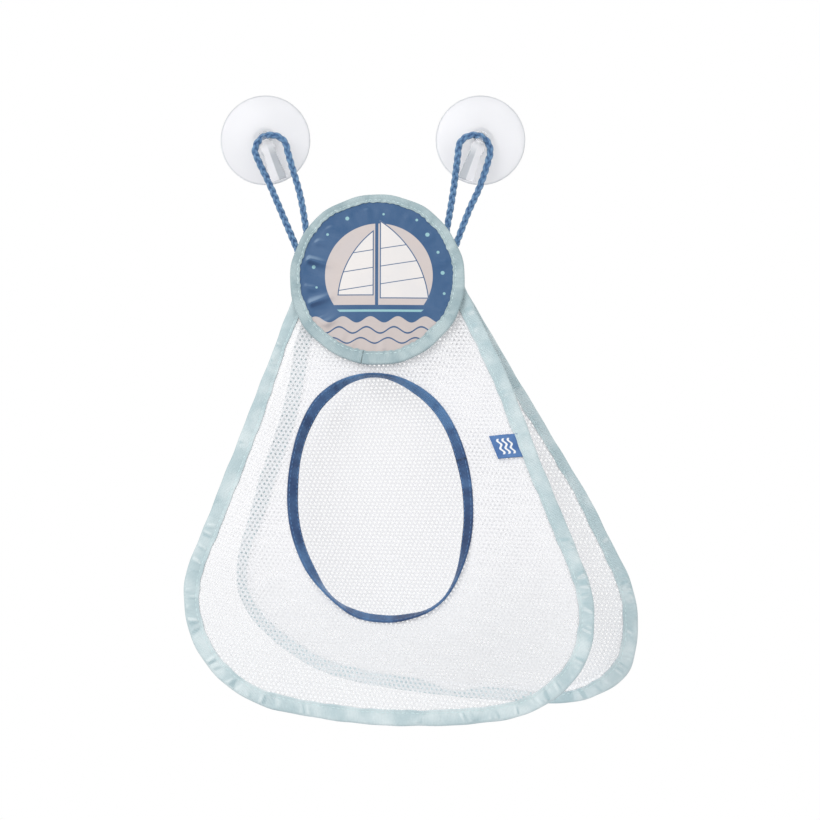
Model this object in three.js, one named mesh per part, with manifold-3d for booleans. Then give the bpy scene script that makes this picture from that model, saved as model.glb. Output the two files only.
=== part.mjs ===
// Bath toy organizer: a gusseted mesh bag that hangs by two cord loops from two suction cups with hooks.
// Millimetres. +Z is up, +X is to the right and the front faces -Y. The wall is the plane y = 0, and the
// origin lies on it, midway between the suction cups.

import * as THREE from "three";
import { mergeGeometries, mergeVertices } from "three/addons/utils/BufferGeometryUtils.js";
import Module from "manifold-3d";

const degrees = THREE.MathUtils.degToRad;

// Driving dimensions of the suction cups and hooks
const CUP_SPACING = 144;
const CUP = { radius: 30, lip: 3.5, rim: 0.8, hollow: 3.6, height: 5.4, seat: 8.5 };
const NUB = { neck: 3.2, cap: 4.6, capFrom: 7.6, capTo: 9.3 };
const HOOK = { tilt: degrees(23), radius: 7.5, back: 5.8, front: 10.6, fit: 0.35 };
const PEG = { radius: 4.9, down: 7.2, boss: 5.6, bossBack: 6.2 };
const LEAF = { back: 17.2, edge: 0.9, ridge: 2.6 };
// Distance down from the nub, half width and ridge share at each section of the leaf, tip first
const LEAF_SECTIONS = [
  [-3.3, 0.8, 0.4],
  [-2.4, 1.8, 0.6],
  [0, 2.7, 0.8],
  [7, 3.7, 1],
  [18, 4.6, 1],
  [28, 5.3, 0.85],
  [30.2, 4.9, 0.6],
];

// Driving dimensions of the cord loops, and their routes from seam to seam
const CORD = { diameter: 5, sides: 8, steps: 36 };
const CORD_ROUTES = {
  cord_left: [
    [-48, -15.2, -78.5],
    [-52.2, -13.7, -69],
    [-60.5, -12.8, -49.5],
    [-68.8, -13, -29.9],
    [-76.1, -13.3, -14.6],
    [-78.1, -13.5, -8.8],
    [-76.7, -13.5, -3.4],
    [-72.7, -13.5, 0.6],
    [-67.3, -13.5, 2],
    [-61.9, -13.5, 0.6],
    [-57.9, -13.5, -3.4],
    [-56.5, -13.5, -8.8],
    [-52.9, -13.2, -21.2],
    [-48.2, -12.9, -37.8],
    [-44.9, -12.9, -56],
    [-43.2, -14.1, -69.5],
  ],
  cord_right: [
    [48, -14, -68.5],
    [49.4, -13, -59.8],
    [52, -12.8, -45],
    [54.3, -13, -29.9],
    [56.4, -13.4, -13],
    [57.9, -13.5, -3.4],
    [61.9, -13.5, 0.6],
    [67.3, -13.5, 2],
    [72.7, -13.5, 0.6],
    [76.7, -13.5, -3.4],
    [78.1, -13.5, -8.8],
    [76.4, -13.3, -16.4],
    [71.1, -13, -32.4],
    [64.2, -12.8, -47.6],
    [57.5, -13.2, -65],
    [52.8, -15.2, -78.2],
  ],
};

// Cut of the two mesh panels, which are alike: straight sides, round corners and a bowed lower edge
const PATTERN = { side: degrees(21.4), cornerX: 59, cornerDown: 225.5, cornerRadius: 73, length: 304 };
const CLOTH = 0.8;
// How each panel hangs: the plane of its cloth, and how the cloth is shifted, sheared and gathered in it
const TOP_Z = -83;
const FRONT = {
  y: -18.67,
  lean: degrees(10.4),
  shift: 5.1,
  sway: 0.021,
  droop: 0.047,
  bow: 1.4,
  share: 1,
  gather: 1,
};
const BACK = {
  y: -13.67,
  lean: degrees(-1.77),
  shift: 8.9,
  sway: 0.146,
  droop: 0.121,
  bow: 2.9,
  share: 0.965,
  gather: 0.87,
};

// Tape folded over the seams, with the panel and the turned-out edge of the gusset inside its fold
const TAPE = { width: 10, wall: 0.6, edge: 1.5, play: 0.32 };
const SEAM = { stations: 48, from: 12 };
const GUSSET = { cloth: 0.6, inset: 12, turn: 2.4, edge: 1.6 };
// Tape folded over the top edges of both panels, which makes the fold line of the pocket
const TOP_TAPE = { from: -40, to: 50, above: 2, below: 10 };

// Mouth in the front panel, as an oval in the cut, and the webbing round it
const MOUTH = { across: -4.8, down: 157.3, width: 121.4, height: 165, webbing: 7.6, wall: 0.8, stations: 44 };
// Round head on the front of the panels: face and backing with tape round them
const HEAD = { x: 3.3, down: 12.2, radius: 57.7, tape: 8.5, lift: 1.9, stations: 48 };
// Tag folded into the front seam on the right
const TAG = { down: 120, tilt: degrees(6.5), width: 16, reach: 15.5, layer: 0.5, gap: 0.4 };
// Open net of the panels: rows of six-sided gaps, turned a little from level
const NET = { pitch: 16.6, strand: 3.8, margin: 0.8, turn: degrees(5) };

const COLOURS = {
  clear: { color: 0xf4f7f8, roughness: 0.08, metalness: 0, transparent: true, opacity: 0.35 },
  mesh: { color: 0xeeeff3, roughness: 0.85, metalness: 0 },
  tape: { color: 0xb0cdd1, roughness: 0.8, metalness: 0 },
  cord: { color: 0x45689a, roughness: 0.8, metalness: 0 },
  webbing: { color: 0x3e6092, roughness: 0.65, metalness: 0 },
  face: { color: 0x426897, roughness: 0.45, metalness: 0 },
  backing: { color: 0xe4e6e8, roughness: 0.8, metalness: 0 },
};

const wasm = await Module();
wasm.setup();

const part = new THREE.Group();

function addPiece(parent, name, geometry, look) {
  const mesh = new THREE.Mesh(geometry, new THREE.MeshStandardMaterial(COLOURS[look]));
  mesh.name = name;
  parent.add(mesh);
}

// Closed surfaces

function volumeOf(position, index) {
  const a = new THREE.Vector3();
  const b = new THREE.Vector3();
  const c = new THREE.Vector3();
  let sum = 0;
  for (let i = 0; i < index.length; i += 3) {
    a.fromBufferAttribute(position, index[i]);
    b.fromBufferAttribute(position, index[i + 1]);
    c.fromBufferAttribute(position, index[i + 2]);
    sum += a.dot(b.cross(c)) / 6;
  }
  return sum;
}

// The geometry with shared corners merged, no face without area, and its faces pointing out.
function closed(geometry) {
  const bare = geometry.clone();
  bare.deleteAttribute("normal");
  bare.deleteAttribute("uv");
  const merged = mergeVertices(bare, 1e-3);
  const from = merged.index.array;
  const index = [];
  for (let i = 0; i < from.length; i += 3) {
    const [a, b, c] = from.slice(i, i + 3);
    if (a !== b && b !== c && c !== a) index.push(a, b, c);
  }
  if (volumeOf(merged.attributes.position, index) < 0) index.reverse();
  merged.setIndex(index);
  merged.computeVertexNormals();
  return merged;
}

// The geometry with each point moved to where it lies on the object.
function laid(geometry, place) {
  const moved = geometry.clone();
  const position = moved.attributes.position;
  for (let i = 0; i < position.count; i += 1) {
    const p = place(position.getX(i), position.getY(i), position.getZ(i));
    position.setXYZ(i, p.x, p.y, p.z);
  }
  return closed(moved);
}

// A skin over rings of points that share one section. An open run gets an end cap from the section's outline.
function loft(rings, section, isLoop) {
  const count = section.length;
  const points = rings.flat();
  const index = [];
  const spans = isLoop ? rings.length : rings.length - 1;
  for (let i = 0; i < spans; i += 1) {
    const here = i * count;
    const next = ((i + 1) % rings.length) * count;
    for (let j = 0; j < count; j += 1) {
      const k = (j + 1) % count;
      index.push(here + j, here + k, next + k, here + j, next + k, next + j);
    }
  }
  if (!isLoop) {
    const outline = section.map(([x, y]) => new THREE.Vector2(x, y));
    const last = (rings.length - 1) * count;
    const isFlipped = THREE.ShapeUtils.area(outline) < 0;
    for (const [a, b, c] of THREE.ShapeUtils.triangulateShape(outline, [])) {
      const corners = isFlipped ? [a, b, c] : [c, b, a];
      index.push(...corners);
      index.push(...corners.reverse().map((corner) => corner + last));
    }
  }
  const geometry = new THREE.BufferGeometry().setFromPoints(points).setIndex(index);
  return closed(geometry);
}

// Joins and cuts

function solidOf(geometry) {
  const vertProperties = new Float32Array(geometry.attributes.position.array);
  const triVerts = new Uint32Array(geometry.index.array);
  return new wasm.Manifold(new wasm.Mesh({ numProp: 3, vertProperties, triVerts }));
}

function geometryOf(solid) {
  const mesh = solid.getMesh();
  const geometry = new THREE.BufferGeometry();
  geometry.setAttribute("position", new THREE.BufferAttribute(mesh.vertProperties, 3));
  geometry.setIndex(new THREE.BufferAttribute(mesh.triVerts, 1));
  geometry.computeVertexNormals();
  return geometry;
}

// Suction cups and hooks. Profiles are turned about the Y axis, with y towards the wall.

function turned(profile, segments) {
  const points = profile.map(([radius, out]) => new THREE.Vector2(radius, -out));
  return closed(new THREE.LatheGeometry(points, segments));
}

function suctionCup() {
  const inner = CUP.radius - CUP.lip;
  return turned(
    [
      [0, CUP.hollow],
      [inner * 0.45, CUP.hollow * 0.92],
      [inner * 0.75, CUP.hollow * 0.62],
      [inner * 0.93, CUP.hollow * 0.2],
      [inner, 0],
      [CUP.radius, 0],
      [CUP.radius, CUP.rim],
      [CUP.radius * 0.86, CUP.height * 0.42],
      [CUP.radius * 0.66, CUP.height * 0.72],
      [CUP.radius * 0.44, CUP.height * 0.92],
      [CUP.seat, CUP.height],
      [NUB.neck, CUP.height],
      [NUB.neck, NUB.capFrom],
      [NUB.cap, NUB.capFrom],
      [NUB.cap, NUB.capTo - 0.7],
      [NUB.cap * 0.75, NUB.capTo],
      [0, NUB.capTo],
    ],
    36,
  );
}

// Snap-on cap with a peg for the loop and a ridged leaf in front of it. Its nub axis is the origin.
function hook() {
  const cap = turned(
    [
      [0, HOOK.back],
      [HOOK.radius, HOOK.back],
      [HOOK.radius, HOOK.front - 1],
      [HOOK.radius - 1, HOOK.front],
      [0, HOOK.front],
    ],
    28,
  );
  const socket = turned(
    [
      [0, HOOK.back - 1],
      [NUB.neck + HOOK.fit, HOOK.back - 1],
      [NUB.neck + HOOK.fit, NUB.capFrom - HOOK.fit],
      [NUB.cap + HOOK.fit, NUB.capFrom - HOOK.fit],
      [NUB.cap + HOOK.fit, NUB.capTo + HOOK.fit],
      [0, NUB.capTo + HOOK.fit],
    ],
    28,
  );
  const boss = turned(
    [
      [0, PEG.bossBack],
      [PEG.boss, PEG.bossBack],
      [PEG.boss, HOOK.front],
      [0, HOOK.front],
    ],
    24,
  );
  const pegFrom = HOOK.front - 1;
  const pegTo = LEAF.back + LEAF.edge / 2;
  const peg = turned(
    [
      [0, pegFrom],
      [PEG.radius, pegFrom],
      [PEG.radius, pegTo],
      [0, pegTo],
    ],
    24,
  );
  const section = [[-1, 0], [1, 0], [1, 1], [0, 2], [-1, 1]];
  const rings = LEAF_SECTIONS.map(([down, half, share]) => {
    const heights = [0, 0, LEAF.edge * share, LEAF.ridge * share, LEAF.edge * share];
    return section.map(([side], i) => new THREE.Vector3(side * half, -LEAF.back - heights[i], -down));
  });
  const below = new THREE.Matrix4().makeTranslation(0, 0, -PEG.down);
  const joined = solidOf(cap)
    .add(solidOf(boss.applyMatrix4(below)))
    .add(solidOf(peg.applyMatrix4(below)))
    .add(solidOf(loft(rings, section, false)));
  return geometryOf(joined.subtract(solidOf(socket)));
}

function addCups() {
  for (const [side, sign] of [["left", -1], ["right", 1]]) {
    const group = new THREE.Group();
    group.position.set((sign * CUP_SPACING) / 2, 0, 0);
    addPiece(group, `suction_cup_${side}`, suctionCup(), "clear");
    const turn = new THREE.Group();
    turn.rotation.y = sign * HOOK.tilt;
    addPiece(turn, `hook_${side}`, hook(), "clear");
    group.add(turn);
    part.add(group);
  }
}

// Cord loops

function cord(route) {
  const path = new THREE.CatmullRomCurve3(route.map((p) => new THREE.Vector3(...p)));
  const section = new THREE.Shape();
  for (let i = 0; i < CORD.sides; i += 1) {
    const angle = (2 * Math.PI * i) / CORD.sides;
    const x = (CORD.diameter / 2) * Math.cos(angle);
    const y = (CORD.diameter / 2) * Math.sin(angle);
    if (i === 0) section.moveTo(x, y);
    else section.lineTo(x, y);
  }
  return closed(new THREE.ExtrudeGeometry(section, { extrudePath: path, steps: CORD.steps }));
}

// Planes of the bag

// A point of a hanging plane: x across, down along the plane from its top line, and out towards the front.
function onPlane(plane, x, down, out) {
  const sine = Math.sin(plane.lean);
  const cosine = Math.cos(plane.lean);
  return new THREE.Vector3(x, plane.y - sine * down - cosine * out, TOP_Z - cosine * down + sine * out);
}

// A point of the cut, where the hanging cloth takes it.
function onCloth(plane, across, down, out) {
  const fall = down / PATTERN.length;
  const spread = plane.gather + (1 - plane.gather) * Math.min(1, 2 * fall);
  const bow = plane.bow * 4 * fall * (1 - fall);
  const x = plane.shift + across * spread + plane.sway * down + bow;
  return onPlane(plane, x, plane.share * down + plane.droop * fall * across, out);
}

// The seam line of the cut, from the top of the left side round the bottom to the top of the right side.
function seamLine() {
  const { side, cornerX, cornerDown, cornerRadius, length } = PATTERN;
  const low = length - cornerDown;
  const bowRadius = (cornerX ** 2 + low ** 2 - cornerRadius ** 2) / (2 * (low - cornerRadius));
  const bowCentre = length - bowRadius;
  const end = Math.atan2(cornerDown - bowCentre, -cornerX);
  const sideEnd = cornerDown - cornerRadius * Math.sin(side);
  const topHalf = cornerX + cornerRadius * Math.cos(side) - sideEnd * Math.tan(side);
  const line = new THREE.Path();
  line.moveTo(-topHalf, 0);
  line.lineTo(-cornerX - cornerRadius * Math.cos(side), sideEnd);
  line.absarc(-cornerX, cornerDown, cornerRadius, Math.PI + side, end, true);
  line.absarc(0, bowCentre, bowRadius, end, Math.PI - end, true);
  line.absarc(cornerX, cornerDown, cornerRadius, Math.PI - end, -side, true);
  line.lineTo(topHalf, 0);
  return line;
}

const seam = seamLine();

// Points along the seam with their outward directions, starting and ending at a depth below the top edge.
function seamStations(fromDown) {
  const start = fromDown / Math.cos(PATTERN.side) / seam.getLength();
  const stations = [];
  for (let i = 0; i <= SEAM.stations; i += 1) {
    const u = THREE.MathUtils.lerp(start, 1 - start, i / SEAM.stations);
    const at = seam.getPointAt(u);
    const along = seam.getTangentAt(u);
    stations.push({ at, outward: new THREE.Vector2(-along.y, along.x) });
  }
  return stations;
}

function inset(station, distance) {
  return station.at.clone().addScaledVector(station.outward, -distance);
}

// A length of folded tape as a channel: its fold on the seam line, its open side inwards.
function foldedTape(plane, low, high) {
  const { width, wall } = TAPE;
  const section = [
    [0, low],
    [width, low],
    [width, low + wall],
    [wall, low + wall],
    [wall, high - wall],
    [width, high - wall],
    [width, high],
    [0, high],
  ];
  const rings = seamStations(SEAM.from).map((station) =>
    section.map(([inward, out]) => {
      const p = inset(station, inward);
      return onCloth(plane, p.x, p.y, out);
    }),
  );
  return loft(rings, section, false);
}

// Mesh panels

function mouthPoint(angle, outset) {
  const a = MOUTH.width / 2 - MOUTH.webbing;
  const b = MOUTH.height / 2 - MOUTH.webbing;
  const outward = new THREE.Vector2(b * Math.cos(angle), a * Math.sin(angle)).normalize();
  const edge = new THREE.Vector2(MOUTH.across + a * Math.cos(angle), MOUTH.down + b * Math.sin(angle));
  return edge.addScaledVector(outward, outset);
}

function mouthOutline(outset) {
  const angles = Array.from({ length: MOUTH.stations }, (_, i) => (2 * Math.PI * i) / MOUTH.stations);
  return angles.map((angle) => mouthPoint(angle, outset));
}

function isInside(outline, p) {
  let inside = false;
  outline.forEach((a, i) => {
    const b = outline[(i + 1) % outline.length];
    if (a.y > p.y !== b.y > p.y && p.x < a.x + ((p.y - a.y) / (b.y - a.y)) * (b.x - a.x)) inside = !inside;
  });
  return inside;
}

function nearest(outline, p) {
  return Math.min(...outline.map((q) => q.distanceTo(p)));
}

// Gaps of the net that lie wholly inside the edge and clear of what covers it.
function netGaps(edge, covers) {
  const radius = (NET.pitch - NET.strand) / Math.sqrt(3);
  const row = (NET.pitch * Math.sqrt(3)) / 2;
  const room = radius + NET.margin;
  const middle = new THREE.Vector2(0, PATTERN.length / 2);
  const isClear = (outline, p) => nearest(outline, p) > room && !isInside(outline, p);
  const gaps = [];
  for (let j = -10; j <= 10; j += 1) {
    for (let i = -10; i <= 10; i += 1) {
      const across = (i + (Math.abs(j) % 2) / 2) * NET.pitch;
      const centre = new THREE.Vector2(across, j * row).add(middle).rotateAround(middle, NET.turn);
      const isHeld = isInside(edge, centre) && nearest(edge, centre) > room;
      if (isHeld && covers.every((outline) => isClear(outline, centre))) {
        const corners = Array.from({ length: 6 }, (_, k) => {
          const angle = (Math.PI * (2 * k + 1)) / 6 + NET.turn;
          return new THREE.Vector2(radius * Math.cos(angle), radius * Math.sin(angle)).add(centre);
        });
        gaps.push(corners);
      }
    }
  }
  return gaps;
}

function slab(outline, from, to) {
  const shape = new THREE.Shape(outline);
  const geometry = new THREE.ExtrudeGeometry(shape, { depth: to - from, bevelEnabled: false });
  return geometry.translate(0, 0, from);
}

function panel(plane, mouth, covers) {
  const stations = seamStations(0);
  const sheet = slab(stations.map((station) => inset(station, TAPE.edge)), -CLOTH / 2, CLOTH / 2);
  const netEdge = stations.map((station) => inset(station, TAPE.width));
  const openings = netGaps(netEdge, covers);
  if (mouth) openings.push(mouth);
  const cutters = mergeGeometries(openings.map((outline) => slab(outline, -CLOTH, CLOTH)));
  const open = solidOf(closed(sheet)).subtract(solidOf(closed(cutters)));
  return laid(geometryOf(open), (x, y, z) => onCloth(plane, x, y, z));
}

// The side wall: a strip that leaves one seam, crosses to the other and turns out into both tapes.
function gusset() {
  const half = GUSSET.cloth / 2;
  const flange = CLOTH / 2 + TAPE.play + half;
  const turn = flange + GUSSET.turn;
  const outOf = (plane) => onPlane(plane, 0, 0, 1).sub(onPlane(plane, 0, 0, 0));
  const frontOut = outOf(FRONT);
  const backOut = outOf(BACK);
  const rings = seamStations(SEAM.from).map((station) => {
    const edge = inset(station, GUSSET.edge);
    const wall = inset(station, GUSSET.inset);
    const across = (plane) => {
      const from = onCloth(plane, edge.x, edge.y, 0);
      return onCloth(plane, wall.x, wall.y, 0).sub(from).normalize();
    };
    const frontIn = across(FRONT);
    const backIn = across(BACK);
    const line = [
      [onCloth(FRONT, edge.x, edge.y, -flange), frontOut],
      [onCloth(FRONT, wall.x, wall.y, -flange), frontOut.clone().add(frontIn)],
      [onCloth(FRONT, wall.x, wall.y, -turn), frontIn],
      [onCloth(BACK, wall.x, wall.y, turn), backIn],
      [onCloth(BACK, wall.x, wall.y, flange), backIn.clone().sub(backOut)],
      [onCloth(BACK, edge.x, edge.y, flange), backOut.clone().negate()],
    ];
    const inner = line.map(([at, facing]) => at.clone().addScaledVector(facing, half));
    const outer = line.map(([at, facing]) => at.clone().addScaledVector(facing, -half));
    return [...inner, ...outer.reverse()];
  });
  const outline = rings[0].map((p) => [p.x, p.y]);
  return loft(rings, outline, false);
}

// Tape over the top edges, as a channel across the bag that opens downwards.
function topTape() {
  const { from, to, above, below } = TOP_TAPE;
  const low = CLOTH / 2 + TAPE.play;
  const high = low + TAPE.wall;
  const inside = above - TAPE.wall;
  const section = [
    [FRONT, below, high],
    [FRONT, -above, high],
    [BACK, -above, -high],
    [BACK, below, -high],
    [BACK, below, -low],
    [BACK, -inside, -low],
    [FRONT, -inside, low],
    [FRONT, below, low],
  ];
  const rings = [from, to].map((x) => section.map(([plane, down, out]) => onPlane(plane, x, down, out)));
  const outline = rings[0].map((p) => [p.y, p.z]);
  return loft(rings, outline, false);
}

// Webbing folded round the edge of the mouth, open side outwards.
function mouthWebbing() {
  const { webbing, wall, stations } = MOUTH;
  const slot = CLOTH / 2 + TAPE.play;
  const section = [
    [0, -slot - wall],
    [webbing, -slot - wall],
    [webbing, -slot],
    [wall, -slot],
    [wall, slot],
    [webbing, slot],
    [webbing, slot + wall],
    [0, slot + wall],
  ];
  const rings = [];
  for (let i = 0; i < stations; i += 1) {
    const ring = section.map(([outset, out]) => {
      const p = mouthPoint((2 * Math.PI * i) / stations, outset);
      return onCloth(FRONT, p.x, p.y, out);
    });
    rings.push(ring);
  }
  return loft(rings, section, true);
}

// Head: a face and a backing disc with tape folded round their edges

function onHead(x, y, out) {
  return onPlane(FRONT, HEAD.x + x, HEAD.down + y, out);
}

const headStack = (() => {
  const backWall = HEAD.lift + TAPE.wall;
  const backing = backWall + TAPE.play;
  const face = backing + CLOTH + TAPE.play;
  const frontWall = face + CLOTH + TAPE.play;
  return { backWall, backing, face, frontWall, front: frontWall + TAPE.wall };
})();

function headDisc(from) {
  const radius = HEAD.radius - TAPE.edge;
  const disc = new THREE.CylinderGeometry(radius, radius, CLOTH, HEAD.stations);
  return laid(disc, (x, y, z) => onHead(x, z, from + CLOTH / 2 + y));
}

function headTape() {
  const { radius, tape, lift, stations } = HEAD;
  const { backWall, frontWall, front } = headStack;
  const section = [
    [radius, lift],
    [radius - tape, lift],
    [radius - tape, backWall],
    [radius - TAPE.wall, backWall],
    [radius - TAPE.wall, frontWall],
    [radius - tape, frontWall],
    [radius - tape, front],
    [radius, front],
  ];
  const rings = [];
  for (let i = 0; i < stations; i += 1) {
    const angle = (2 * Math.PI * i) / stations;
    rings.push(section.map(([r, out]) => onHead(r * Math.cos(angle), r * Math.sin(angle), out)));
  }
  return loft(rings, section, true);
}

// The head's outline in the cut of the front panel, which it covers.
function headCover() {
  const angles = Array.from({ length: HEAD.stations }, (_, i) => (2 * Math.PI * i) / HEAD.stations);
  return angles.map((angle) => {
    const x = HEAD.x - FRONT.shift + HEAD.radius * Math.cos(angle);
    return new THREE.Vector2(x, HEAD.down + HEAD.radius * Math.sin(angle));
  });
}

// Tag folded double, its open end in the seam
function sideTag() {
  const { tilt, reach, layer, gap, width } = TAG;
  const thick = 2 * layer + gap;
  const strip = new THREE.Shape([
    new THREE.Vector2(0, 0),
    new THREE.Vector2(reach - thick / 2, 0),
    new THREE.Vector2(reach, thick / 2),
    new THREE.Vector2(reach - thick / 2, thick),
    new THREE.Vector2(0, thick),
    new THREE.Vector2(0, thick - layer),
    new THREE.Vector2(reach - thick, thick - layer),
    new THREE.Vector2(reach - thick, layer),
    new THREE.Vector2(0, layer),
  ]);
  const { side } = PATTERN;
  const start = seam.getPointAt(1 - TAG.down / Math.cos(side) / seam.getLength());
  const along = new THREE.Vector2(Math.sin(side), Math.cos(side));
  const inward = new THREE.Vector2(-Math.cos(tilt), Math.sin(tilt));
  const lift = CLOTH / 2 + TAPE.play;
  const from = (TAPE.width + TAPE.play) / Math.cos(side - tilt);
  const folded = new THREE.ExtrudeGeometry(strip, { depth: width, bevelEnabled: false });
  return laid(folded, (x, y, z) => {
    const p = start.clone().addScaledVector(inward, from + x).addScaledVector(along, z - width / 2);
    return onCloth(FRONT, p.x, p.y, lift + y);
  });
}

function addBag() {
  const near = CLOTH / 2 + TAPE.play + TAPE.wall;
  const far = near + GUSSET.cloth + TAPE.play;
  const mouthHole = mouthOutline(TAPE.edge);
  const mouthCover = mouthOutline(MOUTH.webbing);
  addPiece(part, "front_panel", panel(FRONT, mouthHole, [mouthCover, headCover()]), "mesh");
  addPiece(part, "back_panel", panel(BACK, null, []), "mesh");
  addPiece(part, "front_binding", foldedTape(FRONT, -far, near), "tape");
  addPiece(part, "back_binding", foldedTape(BACK, -near, far), "tape");
  addPiece(part, "top_binding", topTape(), "tape");
  addPiece(part, "gusset", gusset(), "mesh");
  addPiece(part, "opening_binding", mouthWebbing(), "webbing");
  addPiece(part, "head_backing", headDisc(headStack.backing), "backing");
  addPiece(part, "head_face", headDisc(headStack.face), "face");
  addPiece(part, "head_binding", headTape(), "tape");
  addPiece(part, "side_tag", sideTag(), "webbing");
}

addCups();
for (const [name, route] of Object.entries(CORD_ROUTES)) addPiece(part, name, cord(route), "cord");
addBag();

export default part;
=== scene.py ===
import math
from functools import reduce

import bpy
import numpy as np
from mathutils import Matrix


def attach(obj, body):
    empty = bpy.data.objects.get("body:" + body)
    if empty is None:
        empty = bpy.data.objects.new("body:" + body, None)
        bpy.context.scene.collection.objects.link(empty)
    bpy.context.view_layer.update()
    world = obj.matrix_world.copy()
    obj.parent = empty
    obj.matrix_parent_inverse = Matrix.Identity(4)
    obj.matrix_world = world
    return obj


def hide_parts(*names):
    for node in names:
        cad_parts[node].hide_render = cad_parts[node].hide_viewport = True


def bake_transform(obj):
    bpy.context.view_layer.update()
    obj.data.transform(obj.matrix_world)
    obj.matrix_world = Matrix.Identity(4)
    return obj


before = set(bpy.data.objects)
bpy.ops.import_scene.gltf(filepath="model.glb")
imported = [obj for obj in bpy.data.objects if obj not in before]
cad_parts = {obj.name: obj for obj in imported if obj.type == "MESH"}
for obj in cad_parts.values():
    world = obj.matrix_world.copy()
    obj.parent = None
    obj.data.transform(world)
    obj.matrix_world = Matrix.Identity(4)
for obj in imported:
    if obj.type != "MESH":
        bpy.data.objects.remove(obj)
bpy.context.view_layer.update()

# Lengths are in millimetres, as in the part's own drawing.
MM = 0.001
TAU = 2 * math.pi

# Camera at the photograph's angle
scene = bpy.context.scene
scene.view_settings.view_transform = "Standard"
lens = bpy.data.cameras.new("camera")
lens.lens = 100
lens.sensor_width = 36
lens.clip_start = 0.01
lens.clip_end = 50
camera = bpy.data.objects.new("camera", lens)
camera.location = (0.0248, -1.526, -0.1806)
camera.rotation_euler = (math.pi / 2, 0, 0)
scene.collection.objects.link(camera)
scene.camera = camera

# The bag's cut: straight sides, round corners and a bowed foot
SIDE = math.radians(21.4)
CORNER_X = 59
CORNER_DOWN = 225.5
CORNER_R = 73
LENGTH = 304
LOW = LENGTH - CORNER_DOWN
BOW_R = (CORNER_X**2 + LOW**2 - CORNER_R**2) / (2 * (LOW - CORNER_R))
BOW_DOWN = LENGTH - BOW_R
BOW_END = math.atan2(CORNER_DOWN - BOW_DOWN, -CORNER_X)
SIDE_DOWN = CORNER_DOWN - CORNER_R * math.sin(SIDE)
TOP_HALF = CORNER_X + CORNER_R * math.cos(SIDE) - SIDE_DOWN * math.tan(SIDE)
SIDE_RUN = SIDE_DOWN / math.cos(SIDE)
CORNER_RUN = CORNER_R * (math.pi + SIDE - BOW_END)
BOW_RUN = BOW_R * (BOW_END - math.pi / 2)
SEAM_RUN = 2 * (SIDE_RUN + CORNER_RUN + BOW_RUN)
TOP_Z = -83

# How each panel hangs. A pull moves the soft cloth a few millimetres: its place across and down, how far it
# reaches across and down, and how far it moves the cloth across and down.
FRONT = dict(
    y=-18.67, lean=math.radians(10.4), shift=5.1, sway=0.021, droop=0.047, bow=1.4, share=1, gather=1,
    pulls=[(90, 75, 50, 35, 2.6, 0), (125, 258, 30, 28, 1.8, 1.2)],
)
BACK = dict(
    y=-13.67, lean=math.radians(-1.77), shift=8.9, sway=0.146, droop=0.121, bow=2.9, share=0.965, gather=0.87,
    pulls=[
        (-130, 250, 30, 30, -5.5, 0),
        (8, 304, 68, 45, 0, -5),
        (118, 268, 24, 24, 2.6, 2.2),
        (-65, 55, 35, 35, -5, 0),
    ],
)

MOUTH_AT = np.array([-4.8, 157.3])
MOUTH_HALF = np.array([60.7, 82.5])
HEAD_X = 3.3
HEAD_DOWN = 12.2
HEAD_R = 57.7
TAPE_W = 10
CUP_X = 72

# Sums on points


def smooth(x, low, high):
    t = np.clip((np.asarray(x, float) - low) / (high - low), 0, 1)
    return t * t * (3 - 2 * t)


def bell(x, middle, reach):
    return np.exp(-(((x - middle) / reach) ** 2))


def arch(share):
    """How far a tape bellies across its width, from its folded edge to its sewn one."""
    return np.sin(math.pi * np.clip(share * 0.9 + 0.1, 0, 1))


def circle(angle):
    return np.stack([np.cos(angle), np.sin(angle)], -1)


def unit(vectors):
    return vectors / np.linalg.norm(vectors, axis=-1, keepdims=True)


def bumps(turns, seed):
    """A smooth run of bumps of about unit height, the sum of sines with drawn starts."""
    draw = np.random.default_rng(seed)
    return sum(np.sin(turn + draw.uniform(0, TAU)) for turn in turns) / math.sqrt(len(turns))


def waves(x, lengths, seed):
    """Bumps with these wavelengths."""
    return bumps([x * TAU / length for length in lengths], seed)


def round_waves(angle, cycles, seed):
    """Bumps that close on themselves round a ring."""
    return bumps([angle * count for count in cycles], seed)


def on_plane(plane, x, down, out):
    """Where a point lies that is x across, down from the top of a panel's plane, and out of it."""
    sine, cosine = math.sin(plane["lean"]), math.cos(plane["lean"])
    x, down, out = np.broadcast_arrays(np.asarray(x, float), down, out)
    y = plane["y"] - sine * down - cosine * out
    return np.stack([x, y, TOP_Z - cosine * down + sine * out], -1)


def relief(plane, a, b):
    """How far the hanging cloth stands out of its plane."""
    fade = smooth(b, 45, 150)
    if plane is FRONT:
        belly = 5 * bell(a, -5, 90) * bell(b, 262, 42)
        fold = 1.3 * np.sin(a / 21 + b / 47 + 0.6) + 0.9 * np.sin(b / 26 - a / 55 + 2)
        return fade * (belly + fold)
    return fade * (0.9 * np.sin(a / 33 + 1) + 0.7 * np.sin(b / 37 + a / 60))


def on_cloth(plane, a, b, out):
    """Where a point of the cut, a across and b down, hangs when it is moved out of the cloth."""
    a, b = np.asarray(a, float), np.asarray(b, float)
    fall = b / LENGTH
    spread = plane["gather"] + (1 - plane["gather"]) * np.minimum(1, 2 * fall)
    x = plane["shift"] + a * spread + plane["sway"] * b + plane["bow"] * 4 * fall * (1 - fall)
    down = plane["share"] * b + plane["droop"] * fall * a
    for across, at, wide, tall, shift, drop in plane["pulls"]:
        share = bell(a, across, wide) * bell(b, at, tall)
        x = x + shift * share
        down = down + drop * share
    return on_plane(plane, x, down, out + relief(plane, a, b))


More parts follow.
